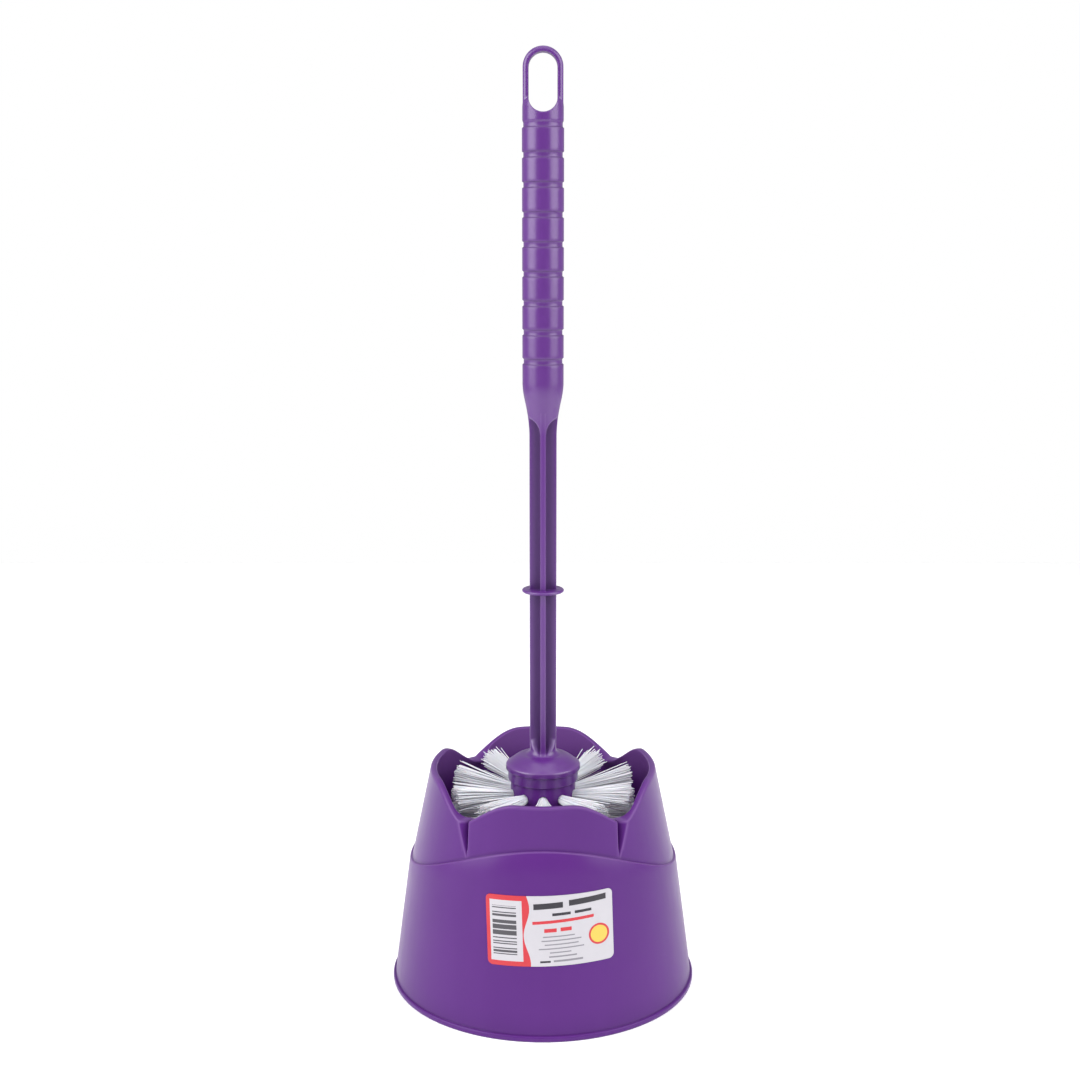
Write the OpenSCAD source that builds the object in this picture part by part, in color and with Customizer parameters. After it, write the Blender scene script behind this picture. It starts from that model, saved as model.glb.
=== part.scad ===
// Toilet brush standing in an open holder with four petals round its mouth.
// Millimetres, +Z up. The origin is the centre of the foot, on the surface that the holder stands on.
// Angles round the holder are counted from the front (-Y) towards the right (+X).

/* [Holder] */
// Outer radius of the lower wall at the foot
foot_r = 64.3; // [60:0.1:80]
// How much the lower wall closes in for each millimetre of height
lower_taper = 0.1326; // [0.08:0.002:0.16]
// Thickness of the holder's wall
wall = 2.6; // [2:0.1:3.4]
// How far the bead stands out at the foot
bead_out = 0.7; // [0.3:0.1:2]
// Height of the bead
bead_h = 2.4; // [1.5:0.1:5]
// Width of the step under the petals
step_w = 1; // [0.6:0.1:1.5]
// Height of the step at the sides
step_low = 54.5; // [45:0.5:60]
// How much higher the step runs at the front and the back
step_rise = 21.3; // [5:0.1:24]

/* [Petals] */
// Height of the two side petals
side_petal_h = 94.2; // [92:0.1:120]
// How much lower the front and back petals are
front_drop = 0; // [0:0.1:3]
// Half width of the mouth, from side petal to side petal
mouth_x = 47.7; // [46.5:0.1:58]
// Half depth of the mouth, from front petal to back petal
mouth_y = 54.5; // [48:0.1:60]
// Height of the dips between petals
dip_h = 82.5; // [80:0.5:90]
// Angle of the dips from the front or the back
dip_angle = 39; // [35:1:45]
// Angle over which a petal rises from its dip
dip_spread = 28; // [20:1:34]
// Depth of the crease under each dip
crease_depth = 4.6; // [2:0.1:5]
// Height at which the creases begin
crease_foot = 69.5; // [68:0.5:74]
// Angle from the front or the back at which a crease begins
crease_angle = 34.5; // [32:0.5:38]
// Angle that a crease has opened to at its dip
crease_open = 5.5; // [4:0.5:12]

/* [Base tray] */
// Thickness of the tray's floor
tray_floor = 2; // [1.5:0.1:3]
// Height of the tray's lip
tray_lip_h = 6; // [4:0.5:10]
// Thickness of the tray's lip
tray_lip = 1.6; // [1.2:0.1:2.4]
// Clearance between the tray and the holder's wall
tray_gap = 0.12; // [0.05:0.01:0.3]

/* [Sticker] */
// Width of the sticker round the wall
sticker_w = 50.5; // [30:0.5:60]
// Height of the sticker
sticker_h = 28; // [15:0.5:30]
// Radius of the sticker's corners
sticker_corner = 2; // [1:0.5:5]
// Thickness of the sticker
sticker_t = 0.16; // [0.1:0.01:0.3]
// Height of the sticker's centre
sticker_z = 44.5; // [30:0.5:46]
// Angle of the sticker's centre from the front
sticker_angle = 3; // [-30:1:30]
// Tilt of the sticker
sticker_tilt = 1.5; // [-5:0.5:5]

/* [Handle] */
// Overall height of the brush as it stands in the holder
total_h = 388.8; // [370:0.1:470]
// Radius of the grip
grip_r = 8.4; // [7.5:0.1:12]
// Radius of the shaft over its ribs
shaft_r = 5.6; // [5:0.1:6.2]
// Thickness of the shaft's ribs
rib_t = 2.2; // [1.6:0.1:3]
// Length of the grip and its loop, from the top down to the taper
grip_len = 135.8; // [130:0.1:150]
// Length of the taper between grip and shaft
taper_len = 18; // [12:0.5:25]
// Number of ring grooves in the grip
groove_count = 9; // [5:1:9]
// Distance between ring grooves
groove_pitch = 11.66; // [9:0.01:12]
// Distance of the highest groove from the top
groove_from_top = 30.1; // [28:0.1:34]
// Depth of a ring groove
groove_depth = 0.55; // [0.3:0.05:1]
// Width of a ring groove
groove_w = 2.6; // [1.5:0.1:4]
// Radius of the small flange on the shaft
flange_r = 8.75; // [7:0.05:14]
// Thickness of the small flange
flange_t = 1.4; // [1:0.1:2.5]
// Height of the small flange
flange_z = 169.3; // [130:0.1:220]

/* [Hanging loop] */
// Outer half width of the loop
loop_r = 8.05; // [7.4:0.05:8.1]
// Radius of the grip above its highest groove
grip_top_r = 8.25; // [8.2:0.05:12]
// Height of the dome that the loop grows out of
grip_dome_h = 6; // [4:0.5:8]
// Radius of the dome's flat top
grip_dome_r = 3; // [2:0.5:5]
// Half width of the hole
loop_hole_r = 5.7; // [4.5:0.1:6.2]
// Height of the hole, end to end
loop_hole_h = 23.2; // [18:0.1:24]
// Half thickness of the loop
loop_half_t = 3.2; // [2.5:0.1:5]

/* [Head] */
// Height of the collar's underside, where the core begins
collar_z = 87.9; // [86:0.1:92]
// Radius of the collar
collar_r = 15.8; // [14.5:0.1:20]
// Height of the collar's side
collar_h = 7.8; // [3:0.1:9]
// Rise of the collar's domed top
dome_h = 3.6; // [1:0.1:5]
// Radius of the head core
core_r = 13.8; // [13:0.1:15]
// Radius of the spigot that joins handle and core
spigot_r = 6.2; // [5:0.1:6.4]
// Length of the spigot
spigot_len = 26; // [16:1:34]
// Radial clearance between spigot and socket
spigot_gap = 0.05; // [0.02:0.01:0.1]

/* [Bristles] */
// Radius of the head over the bristle tips
head_r = 40; // [34:0.5:42]
// Distance between rows
row_pitch = 10; // [9.5:0.1:10.2]
// Distance of the top row under the collar
row_drop = 5.9; // [5:0.1:8]
// Number of tufts in a row
tufts_per_row = 10; // [8:1:10]
// Number of tufts in the end ring
end_tufts = 5; // [4:1:5]
// Radius of the drilled tuft holes
hole_r = 2.1; // [1.6:0.05:2.2]
// Depth of the tuft holes
hole_depth = 5.4; // [4.5:0.1:5.6]
// Radial clearance of a tuft in its hole
tuft_gap = 0.05; // [0.02:0.01:0.1]
// Radius of a tuft at its tips
tuft_tip_r = 4.8; // [3:0.1:5]
// Clearance between a wire staple's side and the wall of its hole
staple_side_gap = 0.15; // [0.1:0.05:0.4]
// Height of a wire staple
staple_h = 1.6; // [1:0.1:2]
// Thickness of a wire staple
staple_t = 0.45; // [0.3:0.05:0.6]

/* [Hidden] */
// Number of straight rows, as NODES lists them
row_count = 6;
$fn = 96;
small_fn = 32;
eps = 0.01;
far = 200;

plastic = [0.42, 0.24, 0.54];
bristle_white = [0.93, 0.92, 0.95];
steel = [0.75, 0.76, 0.78];

// ---- holder shell ----
rim_round = 0.9;
rim_inner_round = 0.72;
corner_cut = 0.3;
ledge_round = 0.5;
bead_round = 0.7;
inner_blend = 4;
crease_valley = 0.3;
crease_end = crease_angle + crease_open;
ridge_angle = crease_angle + 0.4 * crease_open;
ridge_spread = 10;
rise_power = 1.3;
upper_rows = 5;
front_steps = 8;
side_steps = 12;
inner_rows = 4;

function lower_r(z) = foot_r - lower_taper * z;
function step_z(a) = step_low + step_rise * pow(cos(a), 2);
function mouth_r(a) = mouth_x * mouth_y / sqrt(pow(mouth_x * cos(a), 2) + pow(mouth_y * sin(a), 2));
// Angle from the nearer of front and back, 0 to 90
function fold(a) = acos(abs(cos(a)));
function unit(v) = max(0, min(1, v));

// The petals' outline: a rounded dip that rises to a flat top on both sides
function petal_top(a) = side_petal_h - front_drop * pow(cos(a), 4);
function rim_z(a) =
    dip_h + (petal_top(a) - dip_h) * pow(sin(90 * unit(abs(fold(a) - dip_angle) / dip_spread)), rise_power);

// The upper wall runs straight from the step to the mouth's oval
function upper_r(a, z) =
    let (s = step_z(a), start = lower_r(s) - step_w)
    start + (mouth_r(a) - start) * (z - s) / (side_petal_h - s);

// A crease is a valley that opens and deepens with height, with a rounded ridge behind it
function crease_grow(z) = max(0, (z - crease_foot) / (dip_h - crease_foot));
function valley(d, width) =
    d <= 0 || d >= width ? 0 :
    d < crease_valley * width ? d / (crease_valley * width) : (width - d) / (width * (1 - crease_valley));
function crease_cut(a, z) =
    let (g = min(1.2, crease_grow(z)), width = crease_open * g)
    width <= 0 ? 0 : crease_depth * min(1, g) * valley(fold(a) - crease_angle, width);
function ridge(a, z) =
    let (d = abs(fold(a) - ridge_angle) / ridge_spread)
    d >= 1 ? 0 : crease_depth * min(1, crease_grow(z)) * pow(cos(90 * d), 2);

function outer_r(a, z) = upper_r(a, z) - crease_cut(a, z);
function inner_r(a, z) =
    let (s = step_z(a), blend = unit((s - z) / inner_blend))
    (z >= s ? upper_r(a, z) : blend * lower_r(z) + (1 - blend) * (lower_r(s) - step_w)) - wall - ridge(a, z);

// One cross-section of the wall, from the foot's outer corner over the rim to its inner corner
function shell_section(a) =
    let (s = step_z(a), top = rim_z(a), bead = foot_r + bead_out, shoulder = top - rim_round)
    concat(
        [[bead - bead_round, 0], [bead, bead_round], [bead, bead_h - bead_round]],
        [[bead - bead_round, bead_h], [lower_r(bead_h), bead_h]],
        [[lower_r(s - ledge_round), s - ledge_round], [lower_r(s) - ledge_round, s], [outer_r(a, s), s]],
        [for (k = [1:upper_rows]) let (z = s + (shoulder - s) * k / upper_rows) [outer_r(a, z), z]],
        [[outer_r(a, top) - corner_cut * rim_round, top - corner_cut * rim_round]],
        [[outer_r(a, top) - rim_round, top], [inner_r(a, top) + rim_inner_round, top]],
        [[inner_r(a, top) + corner_cut * rim_inner_round, top - corner_cut * rim_inner_round]],
        [for (k = [inner_rows:-1:0]) let (z = s + (shoulder - s) * k / inner_rows) [inner_r(a, z), z]],
        [[inner_r(a, s - inner_blend), s - inner_blend], [lower_r(0) - wall, 0]]
    );

quarter = concat(
    [for (k = [0:front_steps]) (crease_angle - 1) * k / front_steps],
    [for (share = [0, 0.15, 0.3, 0.45, 0.6, 0.8, 1]) crease_angle + crease_open * share],
    [for (k = [1:side_steps]) crease_end + (90 - crease_end) * k / (side_steps + 1)]
);
shell_angles = concat(
    quarter, [90], [for (i = [len(quarter) - 1:-1:1]) 180 - quarter[i]],
    [for (q = quarter) 180 + q], [270], [for (i = [len(quarter) - 1:-1:1]) 360 - quarter[i]]
);

module holder_shell() {
    sections = [for (a = shell_angles) shell_section(a)];
    n = len(shell_angles);
    m = len(sections[0]);
    color(plastic)
    polyhedron(
        points = [for (i = [0:n - 1]) for (p = sections[i])
            [p[0] * sin(shell_angles[i]), -p[0] * cos(shell_angles[i]), p[1]]],
        faces = [for (i = [0:n - 1]) for (j = [0:m - 1])
            let (i2 = (i + 1) % n, j2 = (j + 1) % m)
            [i * m + j, i * m + j2, i2 * m + j2, i2 * m + j]],
        convexity = 8
    );
}

// ---- base tray ----
tray_r = foot_r - wall - tray_gap;

module base_tray() {
    color(plastic)
    difference() {
        cylinder(h = tray_lip_h, r1 = tray_r, r2 = tray_r - lower_taper * tray_lip_h);
        translate([0, 0, tray_floor])
        cylinder(
            h = tray_lip_h,
            r1 = tray_r - tray_lip - lower_taper * tray_floor,
            r2 = tray_r - tray_lip - lower_taper * (tray_floor + tray_lip_h)
        );
    }
}

// ---- sticker ----
sticker_gap = 0.06;
cut_over = 1;

module sticker_outline() {
    square([sticker_w, sticker_h - 2 * sticker_corner], center = true);
    square([sticker_w - 2 * sticker_corner, sticker_h], center = true);
    for (x = [-1, 1])
        for (y = [-1, 1])
            translate([x * (sticker_w / 2 - sticker_corner), y * (sticker_h / 2 - sticker_corner)])
            circle(sticker_corner, $fn = small_fn);
}

module sticker() {
    inner = foot_r + sticker_gap;
    outer = inner + sticker_t;
    h = sticker_z + sticker_h;
    color("white")
    intersection() {
        difference() {
            cylinder(h = h, r1 = outer, r2 = outer - lower_taper * h);
            translate([0, 0, -cut_over])
            cylinder(
                h = h + 2 * cut_over,
                r1 = inner + lower_taper * cut_over,
                r2 = inner - lower_taper * (h + cut_over)
            );
        }
        rotate([0, 0, sticker_angle])
        translate([0, 0, sticker_z])
        rotate([90, 0, 0])
        linear_extrude(far)
        rotate(sticker_tilt)
        sticker_outline();
    }
}

// ---- handle ----
spigot_z = collar_z - spigot_len;
collar_top = collar_z + collar_h;
collar_round = 1.2;
foot_round = 2.5;
foot_z = collar_top + dome_h;
dome_power = 1.5;
dome_run = collar_r - collar_round - shaft_r - foot_round;
grip_z = total_h - grip_len;
taper_z = grip_z - taper_len;
taper_power = 1.8;
taper_steps = 8;
loop_z = total_h - loop_r;
hole_low_z = loop_z + loop_hole_r - loop_hole_h + loop_hole_r;
loop_low = groove_z(0) + groove_w;
// The grip's dome begins this far under the middle of the hole's lower arc
dome_under = 3;
dome_low = hole_low_z - dome_under;
pocket_lift = 0;
pocket_low = foot_z + pocket_lift;
pocket_low_rise = 4;
pocket_margin = 4;
pocket_lead = 1;
pocket_high = taper_z + pocket_lead;
pocket_curve = 6.2;
pocket_sweep = 75;

function groove_z(i) = total_h - groove_from_top - i * groove_pitch;
function groove_points(z) = [
    [grip_r, z - groove_w / 2], [grip_r - groove_depth, z - groove_w / 4],
    [grip_r - groove_depth, z + groove_w / 4], [grip_r, z + groove_w / 2]
];

module handle_turned() {
    rotate_extrude()
    polygon(concat(
        [[0, spigot_z], [spigot_r, spigot_z], [spigot_r, collar_z], [collar_r, collar_z]],
        [for (t = [0:15:90])
            [collar_r - collar_round * (1 - cos(t)), collar_top - collar_round * (1 - sin(t))]],
        [for (u = [0.25:0.25:0.75])
            [collar_r - collar_round - dome_run * u, collar_top + dome_h * (1 - pow(1 - u, dome_power))]],
        [for (t = [0:15:90])
            [shaft_r + foot_round - foot_round * sin(t), foot_z + foot_round - foot_round * cos(t)]],
        [for (k = [0:taper_steps])
            let (u = k / taper_steps)
            [shaft_r + (grip_r - shaft_r) * pow(u, taper_power), taper_z + taper_len * u]],
        [for (i = [groove_count - 1:-1:0]) for (p = groove_points(groove_z(i))) p],
        [for (t = [0:15:90])
            [grip_dome_r + (grip_top_r - grip_dome_r) * cos(t), dome_low + grip_dome_h * sin(t)]],
        [[0, dome_low + grip_dome_h]]
    ));
}

// Outline that a pocket between two ribs has when seen from the front
module pocket_outline() {
    side = shaft_r + pocket_margin;
    polygon(concat(
        [[rib_t / 2, pocket_low], [shaft_r, pocket_low + pocket_low_rise]],
        [[side, pocket_low + pocket_low_rise], [side, pocket_high + pocket_curve * sin(pocket_sweep)]],
        [for (t = [pocket_sweep:-15:0])
            [rib_t / 2 + pocket_curve * (1 - cos(t)), pocket_high + pocket_curve * sin(t)]]
    ));
}

module pockets() {
    for (x = [0, 1])
        for (y = [0, 1])
            mirror([x, 0, 0])
            mirror([0, y, 0])
            translate([0, -rib_t / 2, 0])
            rotate([90, 0, 0])
            linear_extrude(2 * shaft_r)
            pocket_outline();
}

// The loop is a flat ring that grows out of the grip's domed end
module loop_ring() {
    translate([0, loop_half_t, 0])
    rotate([90, 0, 0])
    linear_extrude(2 * loop_half_t) {
        translate([0, loop_z])
        circle(loop_r);
        translate([-loop_r, loop_low])
        square([2 * loop_r, loop_z - loop_low]);
    }
}

module loop_hole() {
    translate([0, far / 2, 0])
    rotate([90, 0, 0])
    linear_extrude(far) {
        translate([0, loop_z])
        circle(loop_hole_r);
        translate([0, hole_low_z])
        circle(loop_hole_r);
        translate([-loop_hole_r, hole_low_z])
        square([2 * loop_hole_r, loop_z - hole_low_z]);
    }
}

module handle() {
    color(plastic) {
        difference() {
            union() {
                handle_turned();
                loop_ring();
            }
            pockets();
            loop_hole();
        }
        translate([0, 0, flange_z])
        cylinder(h = flange_t, r = flange_r);
    }
}

// ---- head core ----
ring_tilt = 30;
end_tilt = 65;
ring_face = 5.2;
end_face = 8;
end_step = [1, 3.2];
drill_lead = 4;
socket_end_gap = 0.5;
ring_top = 24.2;
// Corners of the core's rounded end, each face square to its tufts
ring_foot = [core_r - ring_face * sin(ring_tilt), ring_top - ring_face * cos(ring_tilt)];
end_top = ring_foot - end_step;
end_foot = end_top - end_face * [sin(end_tilt), cos(end_tilt)];
ring_mid = ([core_r, ring_top] + ring_foot) / 2;
end_mid = (end_top + end_foot) / 2;

function row_z(row) = collar_z - row_drop - row_pitch * row;
function row_turn(row) = (row % 2) * 180 / tufts_per_row;

// Puts a tuft's own axis at radius and height at[0] and at[1], count times round the core
module around(count, at, tilt, turn) {
    for (i = [0:count - 1])
        rotate([0, 0, -90 + turn + i * 360 / count])
        translate([at[0], 0, at[1]])
        rotate([0, 90 + tilt, 0])
        children();
}

module row_of(row) {
    around(tufts_per_row, [core_r, row_z(row)], 0, row_turn(row))
    children();
}

module slanted_ring() {
    around(tufts_per_row, ring_mid, ring_tilt, row_turn(row_count))
    children();
}

module end_ring() {
    around(end_tufts, end_mid, end_tilt, 180 / tufts_per_row)
    children();
}

module tuft_hole() {
    translate([0, 0, -hole_depth])
    cylinder(h = hole_depth + drill_lead, r = hole_r, $fn = small_fn);
}

module head_core() {
    socket_r = spigot_r + spigot_gap;
    socket_z = spigot_z - socket_end_gap;
    color(plastic)
    difference() {
        rotate_extrude()
        polygon([
            [0, end_foot[1]], end_foot, end_top, ring_foot, [core_r, ring_top], [core_r, collar_z],
            [socket_r, collar_z], [socket_r, socket_z], [0, socket_z]
        ]);
        for (row = [0:row_count - 1])
            row_of(row)
            tuft_hole();
        slanted_ring()
        tuft_hole();
        end_ring()
        tuft_hole();
    }
}

// ---- tufts and staples ----
staple_lift = 0.6;
staple_z = staple_lift - hole_depth;
staple_w = 2 * (hole_r - staple_side_gap);
staple_gap = 0.05;
tip_cap = 0.5;
row_reach = head_r - core_r;
ring_reach = 24;
ring_tip_r = 4.4;
end_reach = 12.4;
end_tip_r = 3.4;

module tuft(reach, tip_r) {
    color(bristle_white)
    difference() {
        union() {
            translate([0, 0, -hole_depth + staple_gap])
            cylinder(h = hole_depth, r = hole_r - tuft_gap, $fn = small_fn);
            cylinder(h = reach - tip_cap, r1 = hole_r - tuft_gap, r2 = tip_r, $fn = small_fn);
            translate([0, 0, reach - tip_cap - eps])
            cylinder(h = tip_cap + eps, r1 = tip_r, r2 = tip_r - tip_cap, $fn = small_fn);
        }
        translate([0, 0, staple_z + staple_h / 2])
        cube([staple_t + 2 * staple_gap, 2 * hole_r, staple_h + 2 * staple_gap], center = true);
    }
}

module staple() {
    color(steel)
    translate([0, 0, staple_z + staple_h / 2])
    cube([staple_t, staple_w, staple_h], center = true);
}

module tufts_in_row(row) {
    row_of(row)
    tuft(row_reach, tuft_tip_r);
}

module staples_in_row(row) {
    row_of(row)
    staple();
}

holder_shell();
base_tray();
sticker();
handle();
head_core();
for (row = [0:row_count - 1]) {
    tufts_in_row(row);
    staples_in_row(row);
}
slanted_ring() tuft(ring_reach, ring_tip_r);  // tufts_slanted_ring
end_ring() tuft(end_reach, end_tip_r);  // tufts_end_ring
slanted_ring() staple();  // staples_slanted_ring
end_ring() staple();  // staples_end_ring
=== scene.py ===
import math
import random
import bmesh
import bpy
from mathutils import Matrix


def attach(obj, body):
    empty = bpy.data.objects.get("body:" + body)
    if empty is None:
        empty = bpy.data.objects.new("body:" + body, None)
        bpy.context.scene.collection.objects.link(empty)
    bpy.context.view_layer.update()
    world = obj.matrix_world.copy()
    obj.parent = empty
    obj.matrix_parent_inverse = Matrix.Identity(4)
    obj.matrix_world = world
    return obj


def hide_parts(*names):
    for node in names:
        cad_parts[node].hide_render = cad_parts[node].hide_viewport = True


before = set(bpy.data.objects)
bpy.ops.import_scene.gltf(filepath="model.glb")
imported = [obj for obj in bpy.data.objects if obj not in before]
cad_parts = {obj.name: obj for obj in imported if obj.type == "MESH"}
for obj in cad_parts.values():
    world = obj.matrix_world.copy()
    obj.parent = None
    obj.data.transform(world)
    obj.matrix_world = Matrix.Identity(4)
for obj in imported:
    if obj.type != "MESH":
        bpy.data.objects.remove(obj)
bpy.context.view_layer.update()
mm = 0.001
fullTurn = 2 * math.pi
goldenAngle = 2.39996


# small helpers for shapes

def sind(angle):
    return math.sin(math.radians(angle))


def cosd(angle):
    return math.cos(math.radians(angle))


def clamp(value, low=0.0, high=1.0):
    return max(low, min(high, value))


def smoothStep(value):
    t = clamp(value)
    return t * t * (3 - 2 * t)


def softMin(a, b, width):
    h = max(width - abs(a - b), 0) / width
    return min(a, b) - h * h * width / 4


def softMax(a, b, width):
    return -softMin(-a, -b, width)


def arc(cx, cz, radius, start, end, steps):
    # points on an arc in the r-z plane, angles from +r towards +z
    turns = [start + (end - start) * k / steps for k in range(steps + 1)]
    return [(cx + radius * cosd(t), cz + radius * sind(t)) for t in turns]


def peak(off, middle, reach, top=1.0):
    # strongest at one distance from a feature and gone further away
    return top - abs(off - middle) / reach


def spinRound(bm, parts, steps):
    around = {"cent": (0, 0, 0), "axis": (0, 0, 1), "angle": fullTurn}
    bmesh.ops.spin(bm, geom=parts, steps=steps, use_merge=True, **around)


def spinGrid(rows, columns, closed, place, marks=None):
    # spins a plain chain into a tube, then puts every vertex where place(column, row) says;
    # marks maps the name of a number kept on each vertex to its own function of column and row
    bm = bmesh.new()
    verts = [bm.verts.new((1, 0, row)) for row in range(rows)]
    ends = list(zip(verts, verts[1:])) + ([(verts[-1], verts[0])] if closed else [])
    spinRound(bm, verts + [bm.edges.new(pair) for pair in ends], columns)
    step = fullTurn / columns
    layers = {name: bm.verts.layers.float.new(name) for name in marks or {}}
    for v in bm.verts:
        column = round(math.atan2(v.co.y, v.co.x) / step) % columns
        row = round(v.co.z)
        v.co = place(column, row)
        for name, layer in layers.items():
            v[layer] = marks[name](column, row)
    if not closed:
        bmesh.ops.holes_fill(bm, edges=bm.edges, sides=0)
    bmesh.ops.recalc_face_normals(bm, faces=bm.faces)
    return bm


def spinProfile(points, steps):
    # turns a closed outline of (r, z) points in millimetres; points on the axis are merged
    bm = bmesh.new()
    verts = [bm.verts.new((r * mm, 0, z * mm)) for r, z in points]
    ends = list(zip(verts, verts[1:]))
    if points[0][0] > 0:
        ends.append((verts[-1], verts[0]))
    spinRound(bm, verts + [bm.edges.new(pair) for pair in ends], steps)
    bmesh.ops.remove_doubles(bm, verts=bm.verts, dist=0.002 * mm)
    bmesh.ops.recalc_face_normals(bm, faces=bm.faces)
    return bm


def meshPiece(name, bm):
    mesh = bpy.data.meshes.new(name)
    bm.to_mesh(mesh)
    bm.free()
    piece = bpy.data.objects.new(name, mesh)
    bpy.context.scene.collection.objects.link(piece)
    return piece


def bakeModifiers(piece):
    # keeps the evaluated mesh and drops the modifiers
    graph = bpy.context.evaluated_depsgraph_get()
    mesh = bpy.data.meshes.new_from_object(piece.evaluated_get(graph))
    piece.modifiers.clear()
    piece.data = mesh


def settle(piece, body, node, finish, sharp=38):
    mesh = piece.data
    mesh.shade_smooth()
    mesh.set_sharp_from_angle(angle=math.radians(sharp))
    mesh.materials.clear()
    mesh.materials.append(finish)
    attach(piece, body)
    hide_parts(node)
    print(piece.name, len(mesh.polygons), "faces")


# shader writing

class Value:
    # one number in a shader; an expression on it adds Math nodes
    def __init__(self, nodes, socket):
        self.nodes = nodes
        self.socket = socket

    def maths(self, operation, *values):
        return self.nodes.add("ShaderNodeMath", {"operation": operation}, dict(enumerate(values)))

    def pin(self, name):
        return Value(self.nodes, self.socket.node.outputs[name])

    def __add__(self, other):
        return self.maths("ADD", self, other)

    def __sub__(self, other):
        return self.maths("SUBTRACT", self, other)

    def __rsub__(self, other):
        return self.maths("SUBTRACT", other, self)

    def __mul__(self, other):
        return self.maths("MULTIPLY", self, other)

    def __truediv__(self, other):
        return self.maths("DIVIDE", self, other)

    def __gt__(self, other):
        return self.maths("GREATER_THAN", self, other)

    def __lt__(self, other):
        return self.maths("LESS_THAN", self, other)

    def __abs__(self):
        return self.maths("ABSOLUTE", self)

    __radd__ = __add__
    __rmul__ = __mul__


class Nodes:
    # one node tree; every node in it is made by add
    def __init__(self, tree):
        self.tree = tree

    def add(self, kind, settings=None, sockets=None, output=0):
        node = self.tree.nodes.new(kind)
        for name, value in (settings or {}).items():
            setattr(node, name, value)
        for name, value in (sockets or {}).items():
            self.feed(node.inputs[name], value)
        return Value(self, node.outputs[output] if node.outputs else None)

    def feed(self, socket, value):
        if isinstance(value, Value):
            self.tree.links.new(value.socket, socket)
        else:
            socket.default_value = value


class Finish(Nodes):
    # one material on a Principled shader
    def __init__(self, name, **plain):
        self.material = bpy.data.materials.new(name)
        self.material.use_nodes = True
        super().__init__(self.material.node_tree)
        self.surface = self.tree.nodes["Principled BSDF"]
        for socket, value in plain.items():
            self.surface.inputs[socket.replace("_", " ")].default_value = value
        self.place = self.add("ShaderNodeTexCoord").pin("Object")

    def noise(self, scale, detail=2.0, stretch=(1, 1, 1)):
        spot = self.add("ShaderNodeMapping", {}, {"Vector": self.place, "Scale": stretch})
        return self.add("ShaderNodeTexNoise", {}, {"Vector": spot, "Scale": scale, "Detail": detail})

    def mix(self, factor, first, second):
        # socket 0 is the factor, 6 and 7 are the two colours and output 2 is the mixed colour
        return self.add("ShaderNodeMix", {"data_type": "RGBA"}, {0: factor, 6: first, 7: second}, 2)

    def mark(self, name):
        # a number that the mesh carries on its vertices or faces
        return self.add("ShaderNodeAttribute", {"attribute_name": name}, {}, "Fac")

    def span(self, value, low, high):
        return value * (high - low) + low

    def bump(self, height, strength, distance):
        sockets = {"Height": height, "Strength": strength, "Distance": distance}
        return self.add("ShaderNodeBump", {}, sockets)

    def paint(self, colour=None, roughness=None, normal=None):
        for name, value in (("Base Color", colour), ("Roughness", roughness), ("Normal", normal)):
            if value is not None:
                self.feed(self.surface.inputs[name], value)
        return self.material


# finishes

purple = {
    "deep": (0.068, 0.0095, 0.143, 1),
    "plain": (0.088, 0.0150, 0.176, 1),
    "shadow": (0.032, 0.0030, 0.070, 1),    # where two walls meet and little light gets in
    "worn": (0.175, 0.075, 0.270, 1),       # painted highlight along rims and rounded edges, and painted light on the holder's inside
    "gloss": 0.26, "dull": 0.36, "smear": 0.03,
    "grain": 1500,      # fine skin left by the mould
    "mottle": 26,       # slow change of colour in the resin
    "flow": 90,         # streaks along the way the resin ran
    "scuff": 240,
    "relief": 0.12,
    "shellPaintedLight": 0.62, "shellShadow": 0.8,
    "handleIor": 1.66, "handleLift": 1.12, "handlePaintedLight": 0.35, "handleDull": 0.6,
    "coreIor": 1.45,
}
bristle = {
    "low": (0.70, 0.69, 0.735, 1), "high": (0.84, 0.835, 0.865, 1), "dim": (0.16, 0.13, 0.19, 1),
    "fine": 900, "slow": 120, "gloss": 0.38, "dull": 0.58,
}
staple = {
    "low": (0.46, 0.47, 0.49, 1), "high": (0.66, 0.66, 0.67, 1),
    "drawn": 1800, "gloss": 0.28, "dull": 0.5,
}


def purplePlastic(name, streak, grainDepth, ior=1.33, lift=1.0):
    # returns the finish, its colour and its roughness, which a piece may still vary
    finish = Finish(name, IOR=ior)
    slow = finish.noise(purple["mottle"], 3)
    flow = finish.noise(purple["flow"], 2, streak)
    scuff = finish.noise(purple["scuff"], 6, (1, 1, 0.35))
    grain = finish.noise(purple["grain"], 2)
    tone = finish.span(slow, 0.15, 0.85) + finish.span(flow, -0.2, 0.2)
    deep, plain = ([part * lift for part in purple[key][:3]] + [1] for key in ("deep", "plain"))
    colour = finish.mix(tone, deep, plain)
    roughness = finish.span(scuff, purple["gloss"], purple["dull"])
    roughness = roughness + finish.span(slow, -purple["smear"], purple["smear"])
    skin = finish.bump(grain + scuff * 0.6, purple["relief"], grainDepth)
    finish.paint(colour, roughness, skin)
    return finish, colour, roughness


def shellFinish():
    # painted highlights along the edges, painted shade in the creases
    finish, colour = purplePlastic("holderPlastic", (1, 1, 0.12), 0.00004)[:2]
    colour = finish.mix(finish.mark("edge") * purple["shellPaintedLight"], colour, purple["worn"])
    colour = finish.mix(finish.mark("deep") * purple["shellShadow"], colour, purple["shadow"])
    return finish.paint(colour)


def handleFinish():
    # painted shade between the ribs and in the corners of the grooves, painted highlights on the ribs'
    # corners and the collar's crown
    light = purple["handleIor"], purple["handleLift"]
    finish, colour, roughness = purplePlastic("handlePlastic", (1.2, 1.2, 0.1), 0.00003, *light)
    deep = finish.mark("deep")
    colour = finish.mix(deep, colour, purple["shadow"])
    colour = finish.mix(finish.mark("edge") * purple["handlePaintedLight"], colour, purple["worn"])
    return finish.paint(colour, roughness + deep * purple["handleDull"])


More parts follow.
